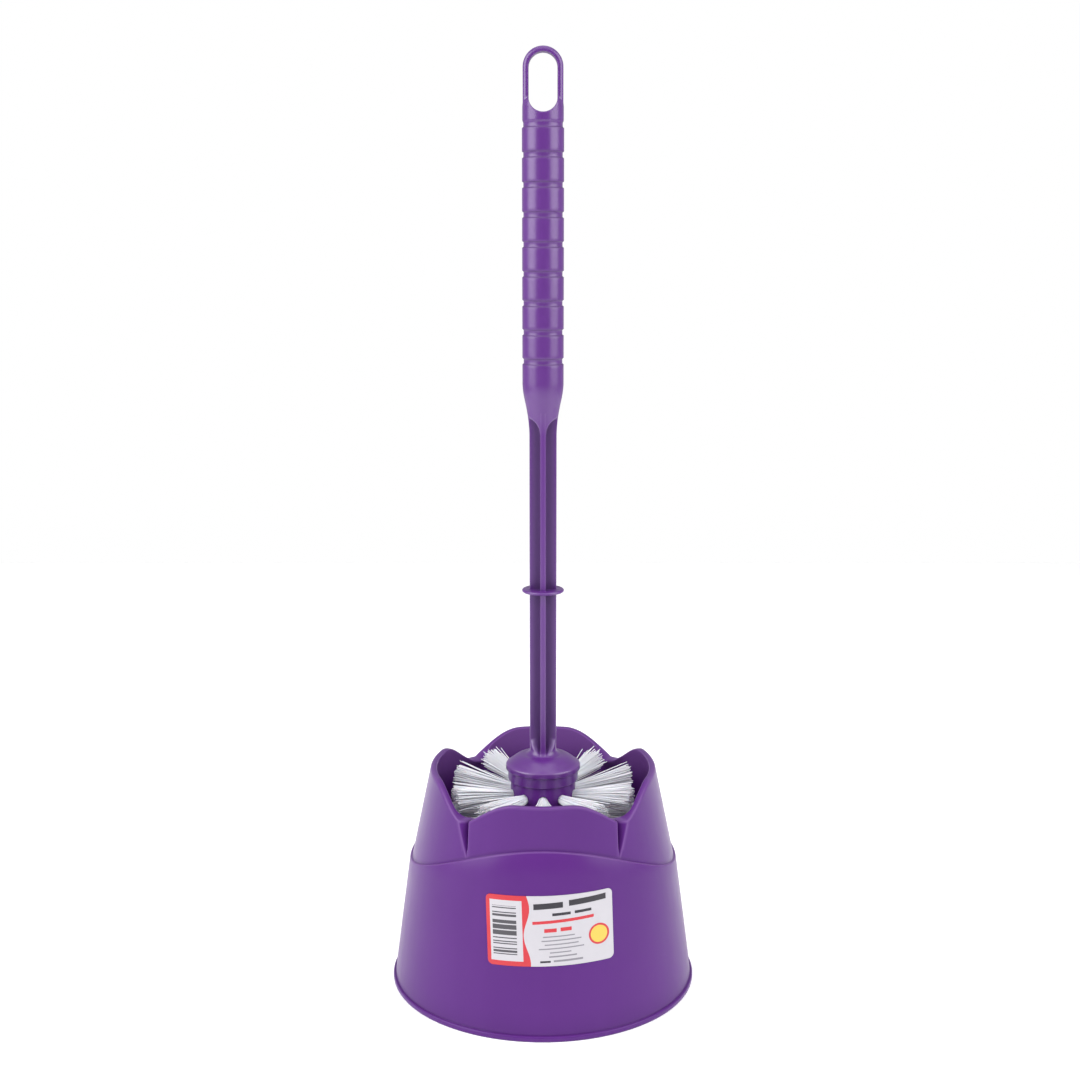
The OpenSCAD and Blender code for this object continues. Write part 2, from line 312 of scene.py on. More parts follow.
def bristleFinish():
    finish = Finish("bristleWhite", IOR=1.5, Subsurface_Weight=0.12, Subsurface_Scale=0.002)
    strand = finish.noise(bristle["fine"], 2)
    slow = finish.noise(bristle["slow"], 2)
    colour = finish.mix(strand * 0.6 + slow * 0.4, bristle["low"], bristle["high"])
    colour = finish.mix(finish.mark("shade"), colour, bristle["dim"])
    roughness = finish.span(strand, bristle["gloss"], bristle["dull"])
    return finish.paint(colour, roughness, finish.bump(strand, 0.1, 0.00005))


def stapleFinish():
    finish = Finish("stapleSteel", Metallic=1.0)
    drawn = finish.noise(staple["drawn"], 3, (1, 1, 0.08))
    colour = finish.mix(drawn, staple["low"], staple["high"])
    roughness = finish.span(drawn, staple["gloss"], staple["dull"])
    return finish.paint(colour, roughness, finish.bump(drawn, 0.2, 0.00002))


holderPlastic = shellFinish()
trayPlastic = purplePlastic("trayPlastic", (0.3, 0.3, 1), 0.00005)[0].material
handlePlastic = handleFinish()
corePlastic = purplePlastic("corePlastic", (1, 1, 0.3), 0.00005, purple["coreIor"])[0].material
bristleWhite = bristleFinish()
stapleSteel = stapleFinish()
print("finishes made")


# holder shell

shell = {
    "footR": 64.3, "taper": 0.1326, "wall": 2.6, "wallFoot": 0.6,
    "beadOut": 0.7, "beadH": 2.4, "beadRound": 0.7, "beadRoot": ((0.08, 0.0), (0.005, 0.25)),
    "stepW": 1.0, "stepLow": 54.5, "stepRise": 21.3, "ledgeRound": 0.6,
    "ledgeRoot": ((0.25, 0.0), (0.08, 0.10858), (0.0, 0.25)), "wallStart": 0.3,
    "petalH": 94.2, "mouthX": 47.7, "mouthY": 54.5, "rimRound": 0.6, "innerBlend": 4,
    "dipH": 82.5, "dipAngle": 39, "dipSpread": 28, "risePower": 1.3, "sidePower": 1.15,
    "dipFlat": 1.1, "dipSoft": 0.8,
    "creaseDepth": 5.6, "creaseFoot": 69.5, "creaseAngle": 34.5, "creaseOpen": 5.5,
    "creaseLeast": 0.25, "creaseMost": 1.2, "creaseFade": 0.55, "creaseTop": 0.68, "creaseTopBack": 0.1,
    "creaseValley": 0.3, "creaseBow": 1.7, "creaseBlur": (-0.3, -0.15, 0, 0.15, 0.3),
    "ridgeDepth": 4.2, "ridgeMiddle": 0.4, "ridgeSpread": 10,
}
# distance from a feature, reach and strength of each mark on the shell
shellMarks = {
    "corner": (0.5, 0.7), "cornerMost": 0.6, "root": (0.3, 0.6, 0.7), "fullCut": 3.2,
    "rim": (-0.3, 0.7), "rimBand": 1.1, "ledge": (-0.1, 0.55), "ledgeMost": 1.2,
    "petalSide": (0.4, 0.8), "panelSide": (-0.5, 0.6, 0.7), "paleFrom": 72, "paleOver": 16,
}
# columns of one quarter: front panel, its edge, crease, petal's edge, side petal
shellColumns = {"front": 32, "edge": 3, "crease": 27, "lip": 3, "side": 44, "edgeWidth": 0.8}
shellQuarter = sum(shellColumns[part] for part in ("front", "edge", "crease", "lip", "side"))


def lowerR(z):
    return shell["footR"] - shell["taper"] * z


def stepZ(a):
    return shell["stepLow"] + shell["stepRise"] * cosd(a) ** 2


def fold(a):
    return math.degrees(math.acos(clamp(abs(cosd(a)))))


def mouthR(a):
    x, y = shell["mouthX"], shell["mouthY"]
    return x * y / math.hypot(x * cosd(a), y * sind(a))


def rimZ(a):
    past = fold(a) - shell["dipAngle"]
    power = shell["sidePower"] if past > 0 else shell["risePower"]
    rise = sind(90 * clamp(abs(past) / shell["dipSpread"])) ** power
    curve = shell["dipH"] + (shell["petalH"] - shell["dipH"]) * rise
    return softMax(curve, shell["dipH"] + shell["dipFlat"], shell["dipSoft"])


def upperR(a, z):
    s = stepZ(a)
    start = lowerR(s) - shell["stepW"]
    return start + (mouthR(a) - start) * (z - s) / (shell["petalH"] - s)


def creaseGrow(z):
    return max(0, (z - shell["creaseFoot"]) / (shell["dipH"] - shell["creaseFoot"]))


def valley(d, width):
    low = shell["creaseValley"] * width
    if d <= 0 or d >= width:
        return 0
    return d / low if d < low else ((width - d) / (width - low)) ** shell["creaseBow"]


def creaseCut(a, z):
    # depth of the crease, which opens upwards and gets shallower again under the rim
    grow = min(shell["creaseMost"], creaseGrow(z))
    if grow <= 0:
        return 0
    d = fold(a) - shell["creaseAngle"]
    blur = [valley(d + shift, shell["creaseOpen"] * grow) for shift in shell["creaseBlur"]]
    top = shell["creaseTop"] if cosd(a) > 0 else shell["creaseTopBack"]
    fade = 1 - (1 - top) * smoothStep((grow - shell["creaseFade"]) / (1 - shell["creaseFade"]))
    return shell["creaseDepth"] * min(1, grow) * fade * sum(blur) / len(blur)


def outerR(a, z):
    return upperR(a, z) - creaseCut(a, z)


def innerR(a, z):
    s = stepZ(a)
    part = clamp((s - z) / shell["innerBlend"])
    below = part * lowerR(z) + (1 - part) * (lowerR(s) - shell["stepW"])
    middle = shell["creaseAngle"] + shell["ridgeMiddle"] * shell["creaseOpen"]
    d = abs(fold(a) - middle) / shell["ridgeSpread"]
    ridge = shell["ridgeDepth"] * min(1, creaseGrow(z)) * cosd(90 * min(1, d)) ** 2
    return (upperR(a, z) if z >= s else below) - shell["wall"] - ridge


def foldAt(index, z):
    # fold angle of a column; the columns in a crease follow its slanted far edge
    c = shellColumns
    first = shell["creaseAngle"]
    width = shell["creaseOpen"] * clamp(creaseGrow(z), shell["creaseLeast"], shell["creaseMost"])
    if index <= c["front"]:
        return (first - c["edgeWidth"]) * index / c["front"]
    index -= c["front"]
    if index <= c["edge"]:
        return first - c["edgeWidth"] * (1 - index / c["edge"])
    index -= c["edge"]
    if index <= c["crease"]:
        return first + width * index / c["crease"]
    index -= c["crease"]
    if index <= c["lip"]:
        return first + width + c["edgeWidth"] * index / c["lip"]
    index -= c["lip"]
    start = first + width + c["edgeWidth"]
    return start + (90 - start) * index / c["side"]


def angleAt(column, z):
    quarter, index = divmod(column, shellQuarter)
    if quarter % 2:
        return 90 * (quarter + 1) - foldAt(shellQuarter - index, z)
    return 90 * quarter + foldAt(index, z)


def shares(count, first=1):
    return [k / count for k in range(first, count + 1)]


def wallRows(low, high, parts, radius):
    # rows along a wall between two heights; each row gives (r, z) for an angle
    def point(a, share):
        z = low(a) + (high(a) - low(a)) * share
        return radius(a, z), z

    return [lambda a, share=share: point(a, share) for share in parts]


def cornerRows(points, middle):
    # rows round a corner, whose middle follows the angle
    return [lambda a, x=x, z=z: (middle(a)[0] + x, middle(a)[1] + z) for x, z in points]


def shellRows():
    # from the foot's outside over the rim to the foot's inside
    s = shell
    bead, curve, ledge, rim = s["footR"] + s["beadOut"], s["beadRound"], s["ledgeRound"], s["rimRound"]
    foot = arc(bead - curve, curve, curve, -90, 0, 4)
    foot += arc(bead - curve, s["beadH"] - curve, curve, 0, 90, 4)
    foot += [(lowerR(s["beadH"] + up) + out, s["beadH"] + up) for out, up in s["beadRoot"]]
    rows = cornerRows(foot, lambda a: (0, 0))
    bottom = s["beadH"] + s["wallFoot"]
    rows += wallRows(lambda a: bottom, lambda a: stepZ(a) - ledge, shares(8, 0), lambda a, z: lowerR(z))
    turn = arc(0, 0, ledge, 0, 90, 4)[1:]
    rows += cornerRows(turn, lambda a: (lowerR(stepZ(a)) - ledge, stepZ(a) - ledge))
    rows += cornerRows(s["ledgeRoot"], lambda a: (upperR(a, stepZ(a)), stepZ(a)))
    rows += wallRows(lambda a: stepZ(a) + s["wallStart"], lambda a: rimZ(a) - rim, shares(26), outerR)
    turn = arc(0, 0, rim, 0, 90, 5)[1:]
    rows += cornerRows(turn, lambda a: (outerR(a, rimZ(a)) - rim, rimZ(a) - rim))
    turn = arc(0, 0, rim, 90, 180, 5)
    rows += cornerRows(turn, lambda a: (innerR(a, rimZ(a)) + rim, rimZ(a) - rim))
    rows += wallRows(lambda a: rimZ(a) - rim, stepZ, shares(20), innerR)
    rows += wallRows(stepZ, lambda a: stepZ(a) - s["innerBlend"], shares(4), innerR)
    rows += wallRows(lambda a: stepZ(a) - s["innerBlend"], lambda a: 0, shares(6), innerR)
    return rows


def makeHolderShell():
    rows = shellRows()
    m = shellMarks

    def place(column, row):
        # a column's angle depends on its height and the other way round, so it takes a few turns
        z = shell["dipH"]
        for again in range(3):
            a = angleAt(column, z)
            r, z = rows[row](a)
        return r * sind(a) * mm, -r * cosd(a) * mm, z * mm

    def spot(column, row):
        x, y, z = (c / mm for c in place(column, row))
        return math.degrees(math.atan2(x, -y)), math.hypot(x, y), z

    def deep(column, row):
        # painted shade on the crease's floor, the corner over the ledge and the bead's root, on the outside
        # only
        a, r, z = spot(column, row)
        if r < innerR(a, z) + 0.8:
            return 0.0
        cut = max(0, creaseCut(a, z)) / m["fullCut"] if z > stepZ(a) else 0
        corner = peak(z - stepZ(a), *m["corner"]) if r < lowerR(stepZ(a)) - 0.6 else 0
        root = peak(z - shell["beadH"], *m["root"]) if r < lowerR(z) + 0.3 else 0
        return clamp(max(cut ** 2, corner * m["cornerMost"], root))

    def edge(column, row):
        # the rim, the ledge's corner and the petals' edges beside the creases
        a, r, z = spot(column, row)
        # a lighter colour on these spots is a painted highlight of the rounded edges
        rim = peak(r - outerR(a, z), *m["rim"]) if z > rimZ(a) - m["rimBand"] else 0
        ledge = peak(z - stepZ(a), *m["ledge"]) if r > lowerR(stepZ(a)) - 0.9 else 0
        grow = clamp(creaseGrow(z), 0, shell["creaseMost"])
        side = 0
        if grow > 0 and r > outerR(a, z) - 0.5:
            off = fold(a) - shell["creaseAngle"]
            far = peak(off - shell["creaseOpen"] * grow, *m["petalSide"])
            side = max(far, peak(off, *m["panelSide"]))
        # light thrown back by the bristles pales the wall round them
        inside = smoothStep((z - m["paleFrom"]) / m["paleOver"]) if r < innerR(a, z) + 0.4 else 0
        return clamp(max(rim, ledge * m["ledgeMost"], side, inside))

    bm = spinGrid(len(rows), 4 * shellQuarter, True, place, {"deep": deep, "edge": edge})
    settle(meshPiece("holderShell", bm), "holder", "holder_shell", holderPlastic, 50)


makeHolderShell()


# base tray

tray = {"r": 61.58, "floor": 2.0, "lipH": 6.0, "lip": 1.6, "round": 0.5, "fillet": 1.2}


def makeBaseTray():
    t = tray
    lean = shell["taper"]
    outer, top = t["r"], t["lipH"]
    inner = outer - t["lip"]
    points = [(0, 0)]
    points += arc(outer - t["round"], t["round"], t["round"], -90, 0, 4)
    points += arc(outer - t["round"] - lean * top, top - t["round"], t["round"], 0, 90, 4)
    points += arc(inner + t["round"] - lean * top, top - t["round"], t["round"], 90, 180, 4)
    points += arc(inner - t["fillet"] - lean * t["floor"], t["floor"] + t["fillet"], t["fillet"], 0, -90, 5)
    points += [(12, t["floor"]), (11.6, t["floor"] + 0.25), (0, t["floor"] + 0.25)]
    bm = spinProfile(points, 160)
    settle(meshPiece("baseTray", bm), "holder", "base_tray", trayPlastic)


makeBaseTray()


# handle

grip = {
    "spigotR": 6.2, "spigotZ": 61.9, "collarZ": 87.9, "collarR": 15.8, "collarH": 7.2, "collarRound": 1.0,
    "lipOut": 1.0, "lipH": 2.7, "lipRoot": ((0.0, -0.7), (0.15, -0.25), (0.5, 0.0)),
    "domeH": 3.7, "domePower": 1.8, "footRound": 2.5, "round": 0.4,
    "shaftR": 5.6, "ribHalf": 1.15, "ribRound": 0.6, "coreR": 1.5,
    "flangeZ": 169.3, "flangeT": 1.4, "flangeR": 8.75, "flangeRoot": 0.05,
    "taperZ": 235.0, "taperLen": 18.0, "taperPower": 1.8, "shoulder": 1.1,
    "gripZ": 260, "gripR": 8.4, "topR": 8.25,
    "grooves": 9, "pitch": 11.66, "grooveTop": 358.7,
    "grooveW": 2.6, "grooveDepth": 0.55, "grooveWall": 0.35,
    "pocketLow": 99.0, "pocketRise": 4.5, "pocketHigh": 235.8, "pocketCurve": 7.0,
    "coreSoft": 0.4, "roofSoft": 0.5, "fadeLeast": 1.5, "fadeMore": 3.5,
}
# distance from a feature, reach and strength of each mark on the handle
gripMarks = {
    "groove": (-0.15, 0.35), "grooveMost": 0.75, "fullSunk": 2.8, "sunkMost": 0.6,
    "crown": (-0.5, 0.8), "rib": (-0.25, 0.4), "ribReach": 6.5,
}
gripColumns = {"rib": 8, "flank": 12}   # columns from a rib's middle to the valley beside it
gripEighth = gripColumns["rib"] + gripColumns["flank"]


def gripFold(index):
    # angle of a column from its nearest rib, close together round the rib's edge
    g = grip
    edge = math.degrees(math.asin(g["ribHalf"] / g["shaftR"]))
    if index <= gripColumns["rib"]:
        return edge * (index / gripColumns["rib"]) ** 0.8
    inner = g["ribHalf"] * math.sqrt(2)
    r = g["shaftR"] - (g["shaftR"] - inner) * (index - gripColumns["rib"]) / gripColumns["flank"]
    return math.degrees(math.asin(g["ribHalf"] / r))


def gripAngle(column):
    quarter, index = divmod(column, 2 * gripEighth)
    if index > gripEighth:
        return 90 * (quarter + 1) - gripFold(2 * gripEighth - index)
    return 90 * quarter + gripFold(index)


def pocketR(a, r, z):
    # how far out the plastic reaches at an angle and a height, with the pockets between the ribs
    g = grip
    side = sind(fold(a))                 # x for each unit of radius
    near = sind(min(fold(a), 90 - fold(a)))
    plus = softMax(g["ribHalf"] / max(near, 0.01), g["coreR"], g["coreSoft"])
    up = z - g["pocketHigh"]
    if up > 0:
        run = math.sqrt(max(0, g["pocketCurve"] ** 2 - up ** 2))
        roof = (g["ribHalf"] + g["pocketCurve"] - run) / max(side, 0.01)
        plus = softMax(plus, roof, g["roofSoft"])
    if up > g["pocketCurve"]:
        return r
    inner = softMin(r, plus, g["ribRound"])
    deepest = g["shaftR"] - g["ribHalf"]
    floor = g["pocketLow"] + g["pocketRise"] / deepest * min(r * side - g["ribHalf"], deepest)
    fade = g["fadeLeast"] + g["fadeMore"] * clamp((r * side - g["ribHalf"]) / deepest)
    return r + (inner - r) * smoothStep((z - floor) / fade)


def solid(points):
    return [(r, z, False) for r, z in points]


def ribbed(points):
    return [(r, z, True) for r, z in points]


def gripRows():
    # each row is (radius, height, has pockets)
    g = grip
    shaft, collarZ, collarR, small = g["shaftR"], g["collarZ"], g["collarR"], g["round"]
    collarTop = collarZ + g["collarH"]
    neck, lip, rim = collarR - g["lipOut"], collarTop - g["lipH"], g["collarRound"]
    outline = [(g["spigotR"] * 0.9, g["spigotZ"]), (g["spigotR"], g["spigotZ"] + 0.6)]
    outline += [(g["spigotR"], collarZ - 0.1), (g["spigotR"] + 0.3, collarZ)]
    outline += arc(neck - small, collarZ + small, small, -90, 0, 4)
    outline += [(neck + out, lip + up) for out, up in g["lipRoot"]]
    outline += arc(collarR - small, lip + small, small, -80, 0, 3)
    outline += arc(collarR - rim, collarTop - rim, rim, 0, 75, 6)
    start, end = collarR - rim, shaft + g["footRound"]
    for u in shares(9):
        height = g["domeH"] * (1 - (1 - u) ** g["domePower"])
        outline.append((start + (end - start) * u, collarTop + height))
    rows = solid(outline)
    foot, footZ = g["footRound"], collarTop + g["domeH"]
    rows += ribbed((shaft + foot * (1 - sind(t)), footZ + foot * (1 - cosd(t))) for t in range(8, 91, 6))
    rows += ribbed((shaft, footZ + foot + 0.5 * k) for k in range(1, 10))
    low, half = footZ + foot + 5, g["flangeT"] / 2
    rows += ribbed((shaft, low + (g["flangeZ"] - 0.3 - low) * k / 12) for k in range(13))
    rows += ribbed([(shaft + g["flangeRoot"], g["flangeZ"])])
    rows += solid(arc(g["flangeR"] - half, g["flangeZ"] + half, half, -90, 90, 8))
    rows += ribbed([(shaft + g["flangeRoot"], g["flangeZ"] + g["flangeT"])])
    high = g["flangeZ"] + g["flangeT"] + 0.3
    rows += ribbed((shaft, high + (g["taperZ"] - 2 - high) * k / 12) for k in range(13))
    rows += ribbed((shaft, g["taperZ"] - 2 + 0.5 * k) for k in range(1, 4))
    for k in range(56):
        u = k / 40
        r = shaft + (g["gripR"] - shaft) * u ** g["taperPower"]
        rows.append((softMin(r, g["gripR"], g["shoulder"]), g["taperZ"] + g["taperLen"] * u, True))
    for i in reversed(range(g["grooves"])):
        rows += solid(grooveRows(g["grooveTop"] - i * g["pitch"], i == 0))
    return rows


def grooveRows(z, last):
    # one ring groove: rounded shoulders, steep walls and a flat floor
    g = grip
    depth, r = g["grooveDepth"], g["gripR"]
    mouth = z - g["grooveW"] / 2
    floor = mouth + g["grooveWall"]
    lower = [(r, mouth - 1.2), (r, mouth - 0.15), (r - 0.05, mouth), (r - depth + 0.06, floor)]
    lower += [(r - depth, floor + 0.12)]
    if last:
        return lower + [(r - depth, z + 0.4)]
    return lower + [(p, 2 * z - q) for p, q in reversed(lower)]


def makeHandleBody():
    rows = gripRows()
    g, m = grip, gripMarks

    def place(column, row):
        r, z, pockets = rows[row]
        a = gripAngle(column)
        if pockets:
            r = pocketR(a, r, z)
        return r * sind(a) * mm, -r * cosd(a) * mm, z * mm

    def deep(column, row):
        # how far a spot lies under the round outline, between the ribs or in a groove's corner; it sets the
        # painted shade and a duller finish there
        r, z, pockets = rows[row]
        sunk = r - pocketR(gripAngle(column), r, z) if pockets else 0
        near = (g["grooveTop"] + g["pitch"] / 2 - z) % g["pitch"] - g["pitch"] / 2
        corner = peak(abs(near) - g["grooveW"] / 2, *m["groove"]) if z > g["gripZ"] else 0
        return clamp(max(m["sunkMost"] * smoothStep(sunk / m["fullSunk"]), m["grooveMost"] * corner))

    def edge(column, row):
        # painted highlights on the collar's crown and the ribs' corners
        r, z, pockets = rows[row]
        if not pockets:
            crown = peak(z - g["collarZ"] - g["collarH"], *m["crown"])
            return clamp(crown) if r > g["collarR"] - 1 else 0.0
        turned = fold(gripAngle(column))
        off = r * sind(min(turned, 90 - turned))
        return clamp(peak(off - g["ribHalf"], *m["rib"])) if r < m["ribReach"] else 0.0

    marks = {"deep": deep, "edge": edge}
    return meshPiece("handle", spinGrid(len(rows), 8 * gripEighth, False, place, marks))


loop = {
    "r": 8.05, "halfT": 3.2, "top": 388.76, "holeR": 5.7, "holeH": 23.2, "edge": 1.7,
    "domeZ": 365.6, "domeH": 6.0, "domeR": 3.0, "voxel": 0.24, "relax": 18,
}


def arched(radius, low, high, steps):
    # outline of a slot end: up one side, over the round top and down the other, as (x, z)
    return [(radius, low)] + arc(0, high, radius, 0, 180, steps) + [(-radius, low)]


def slab(outline, half):
    # extrudes an outline in the x-z plane to both sides
    bm = bmesh.new()
    face = bm.faces.new([bm.verts.new((x * mm, -half * mm, z * mm)) for x, z in outline])
    wide = bmesh.ops.extrude_face_region(bm, geom=[face])["geom"]
    moved = [v for v in wide if isinstance(v, bmesh.types.BMVert)]
    bmesh.ops.translate(bm, verts=moved, vec=(0, 2 * half * mm, 0))
    bmesh.ops.recalc_face_normals(bm, faces=bm.faces)
    return bm


def makeLoopTop():
    g, o = grip, loop
    floorR, z = g["gripR"] - g["grooveDepth"], g["grooveTop"]
    edge = z + g["grooveW"] / 2
    points = [(0, z - 0.6), (floorR - 0.02, z - 0.6)]
    points += [(floorR, edge - g["grooveWall"]), (o["r"] + 0.2, edge)]
    points += arc(o["domeR"], o["domeZ"], g["topR"] - o["domeR"], 0, 90, 12)
    points += [(0, o["domeZ"] + o["domeH"])]
    cap = meshPiece("hangingLoop", spinProfile(points, 96))
    middle = o["top"] - o["r"]
    ring = slab(arched(o["r"], edge + 0.8, middle, 48), o["halfT"])
    rounded = [e for e in ring.edges if abs(e.verts[0].co.y - e.verts[1].co.y) < 1e-6]
    bmesh.ops.bevel(
        ring, geom=rounded, affect="EDGES", offset=o["edge"] * mm, segments=4, profile=0.5, material=-1
    )
    low = middle + o["holeR"] - o["holeH"] + o["holeR"]
    upper = arc(0, middle, o["holeR"], 0, 180, 32)
    hole = slab(upper + arc(0, low, o["holeR"], 180, 360, 32), 3 * o["r"])
    helpers = [meshPiece("loopRing", ring), meshPiece("loopHole", hole)]
    for helper, operation in zip(helpers, ("UNION", "DIFFERENCE")):
        cut = cap.modifiers.new(operation, "BOOLEAN")
        cut.operation = operation
        cut.object = helper
        cut.solver = "EXACT"
    even = cap.modifiers.new("even", "REMESH")
    even.mode = "VOXEL"
    even.voxel_size = o["voxel"] * mm
    soft = cap.modifiers.new("soft", "SMOOTH")
    soft.factor = 0.5
    soft.iterations = o["relax"]
    bakeModifiers(cap)
    for helper in helpers:
        bpy.data.objects.remove(helper)
    return cap


def makeHandle():
    body = makeHandleBody()
    top = makeLoopTop()
    bm = bmesh.new()
    bm.from_mesh(body.data)
    bm.from_mesh(top.data)
    bpy.data.objects.remove(top)
    bm.to_mesh(body.data)
    bm.free()
    settle(body, "brush", "handle", handlePlastic, 50)


makeHandle()


# head core and where its tufts stand

head = {
    "r": 13.8, "topZ": 87.9, "ringTop": 24.2, "ringFace": 5.2, "endFace": 8.0,
    "ringTilt": 30, "endTilt": 65,
    "endStep": (1.0, 3.2), "rows": 6, "rowDrop": 5.9, "rowPitch": 10.0, "perRow": 10, "endTufts": 5,
    "holeR": 2.1, "holeDepth": 5.4, "mouth": ((-0.25, 0.0), (0.35, 0.45), (3, 0.6)),
    "reach": 40.0, "rowTip": 5.7, "topRise": 4.4,
    "ringLength": 24.0, "ringTip": 5.0, "endLength": 12.4, "endTip": 3.4,
}
ringTopPoint = (head["r"], head["ringTop"])
ringFoot = (
    head["r"] - head["ringFace"] * sind(head["ringTilt"]),
    head["ringTop"] - head["ringFace"] * cosd(head["ringTilt"]),
)
endTop = (ringFoot[0] - head["endStep"][0], ringFoot[1] - head["endStep"][1])
endFoot = (
    endTop[0] - head["endFace"] * sind(head["endTilt"]),
    endTop[1] - head["endFace"] * cosd(head["endTilt"]),
)


def middleOf(a, b):
    return (a[0] + b[0]) / 2, (a[1] + b[1]) / 2


def tuftSets():
    # (node, centre of a hole's mouth as (r, z), tilt, count, first angle, length, tip radius,
    # rise of the tips); the back of the top row stands up a little
    h = head
    count, halfStep = h["perRow"], 180 / h["perRow"]
    sets = []
    for row in range(h["rows"]):
        spot = (h["r"], h["topZ"] - h["rowDrop"] - h["rowPitch"] * row)
        fan = (h["reach"] - h["r"], h["rowTip"], h["topRise"] if row == 0 else 0)
        sets.append((f"tufts_row_{row + 1}", spot, 0, count, (row % 2) * halfStep, *fan))
    ring, end = middleOf(ringTopPoint, ringFoot), middleOf(endTop, endFoot)
    fan = (h["ringLength"], h["ringTip"], 0)
    sets.append(("tufts_slanted_ring", ring, h["ringTilt"], count, 0, *fan))
    fan = (h["endLength"], h["endTip"], 0)
    sets.append(("tufts_end_ring", end, h["endTilt"], h["endTufts"], halfStep, *fan))
    return sets


def tuftFrame(spot, tilt, angle):
    # origin and axes of a tuft: out along it, round the head, and up across it
    ahead = (sind(angle), -cosd(angle), 0)
    across = (cosd(angle), sind(angle), 0)
    out = (ahead[0] * cosd(tilt), ahead[1] * cosd(tilt), -sind(tilt))
    up = (ahead[0] * sind(tilt), ahead[1] * sind(tilt), cosd(tilt))
    origin = (spot[0] * ahead[0], spot[0] * ahead[1], spot[1])
    return origin, out, across, up


def inFrame(axes, along, side, lift):
    origin, out, across, up = axes
    return [origin[i] + out[i] * along + across[i] * side + up[i] * lift for i in range(3)]


def makeHeadCore():
    h = head
    r = h["r"]
    socketR, socketZ = grip["spigotR"] + 0.1, grip["spigotZ"] - 0.5
    points = [(0, endFoot[1]), endFoot, endTop, ringFoot, ringTopPoint]
    points += arc(r - 0.4, h["topZ"] - 0.4, 0.4, 0, 90, 3)
    points += [(socketR, h["topZ"]), (socketR, socketZ), (0, socketZ)]
    core = meshPiece("headCore", spinProfile(points, 160))
    drill = bmesh.new()
    for node, spot, tilt, count, turn, *rest in tuftSets():
        for i in range(count):
            addDrill(drill, tuftFrame(spot, tilt, turn + 360 * i / count))
    bmesh.ops.recalc_face_normals(drill, faces=drill.faces)
    bits = meshPiece("drillBits", drill)
    cut = core.modifiers.new("holes", "BOOLEAN")
    cut.operation = "DIFFERENCE"
    cut.object = bits
    cut.solver = "EXACT"
    bakeModifiers(core)
    bpy.data.objects.remove(bits)
    settle(core, "brush", "head_core", corePlastic)


def addDrill(bm, axes):
    # a drill with a small countersink, which rounds the hole's mouth
    h = head
    rings = []
    for along, wider in ((-h["holeDepth"], 0.0), *h["mouth"]):
        radius = h["holeR"] + wider
        circle = bmesh.ops.create_circle(bm, cap_ends=False, radius=radius, segments=24)["verts"]
        for v in circle:
            v.co = [c * mm for c in inFrame(axes, along, v.co.x, v.co.y)]
        rings.append(circle)
    for low, high in zip(rings, rings[1:]):
        both = low + high
        joined = dict.fromkeys(e for v in both for e in v.link_edges if e.other_vert(v) in both)
        bmesh.ops.bridge_loops(bm, edges=list(joined))
    for circle in (rings[0], rings[-1]):
        bm.faces.new(circle)


makeHeadCore()


# bristle tufts

tuft = {
    "strands": 165, "thick": 0.42, "rootR": 1.88, "sunk": 4.2, "flatten": 0.82, "ragged": 1.3,
    "strays": 7, "strayOut": 1.3, "shaded": 1, "bend": 1.15,
    "turnPlay": 0.2, "spreadPlay": 0.07, "wavePlay": 0.35, "shortest": 0.05,
    "parts": (0.0, 0.35, 0.7, 1.0), "tipThin": 0.8,
    "heart": 0.72, "heartParts": (-0.06, 0.0, 0.3, 0.6, 0.78, 0.84), "heartTip": 0.4,
}


def addStrand(curve, axes, rng, length, tipR, rise, index, count, stray):
    # a strand starts in its hole and fans out with its neighbours
    t = tuft
    turn = index * goldenAngle + rng.uniform(-t["turnPlay"], t["turnPlay"])
    share = math.sqrt((index + 0.5) / count)
    root = t["rootR"] * share
    spread = tipR * (share + rng.uniform(-t["spreadPlay"], t["spreadPlay"]))
    spread *= t["strayOut"] if stray else 1
    tip = (spread * math.cos(turn), spread * math.sin(turn) * t["flatten"] + rise)
    start = (root * math.cos(turn), root * math.sin(turn))
    reach = math.sqrt(max(1, length ** 2 - spread ** 2)) - rng.uniform(t["shortest"], t["ragged"])
    wave = [rng.uniform(-t["wavePlay"], t["wavePlay"]) for way in range(2)]
    points = [inFrame(axes, -t["sunk"], start[0], start[1])]
    for part in t["parts"]:
        grow = part ** t["bend"]
        bow = math.sin(math.pi * part)
        side = start[0] + (tip[0] - start[0]) * grow + wave[0] * bow
        lift = start[1] + (tip[1] - start[1]) * grow + wave[1] * bow
        points.append(inFrame(axes, reach * part, side, lift))
    spline = curve.splines.new("POLY")
    spline.points.add(len(points) - 1)
    for place, at in zip(spline.points, points):
        place.co = (at[0] * mm, at[1] * mm, at[2] * mm, 1)
        place.radius = 1
    spline.points[-1].radius = t["tipThin"]
    return spline


def addHeart(curve, axes, length, tipR, rise):
    # the middle of a tuft, which shows in the gaps between its strands
    t = tuft
    spline = curve.splines.new("POLY")
    spline.points.add(len(t["heartParts"]) - 1)
    for place, part in zip(spline.points, t["heartParts"]):
        grow = max(0, part) ** t["bend"]
        at = inFrame(axes, length * part, 0, rise * grow)
        place.co = (at[0] * mm, at[1] * mm, at[2] * mm, 1)
        place.radius = (t["rootR"] + (tipR - t["rootR"]) * grow) * t["heart"] * 2 / t["thick"]
    spline.points[-1].radius *= t["heartTip"]


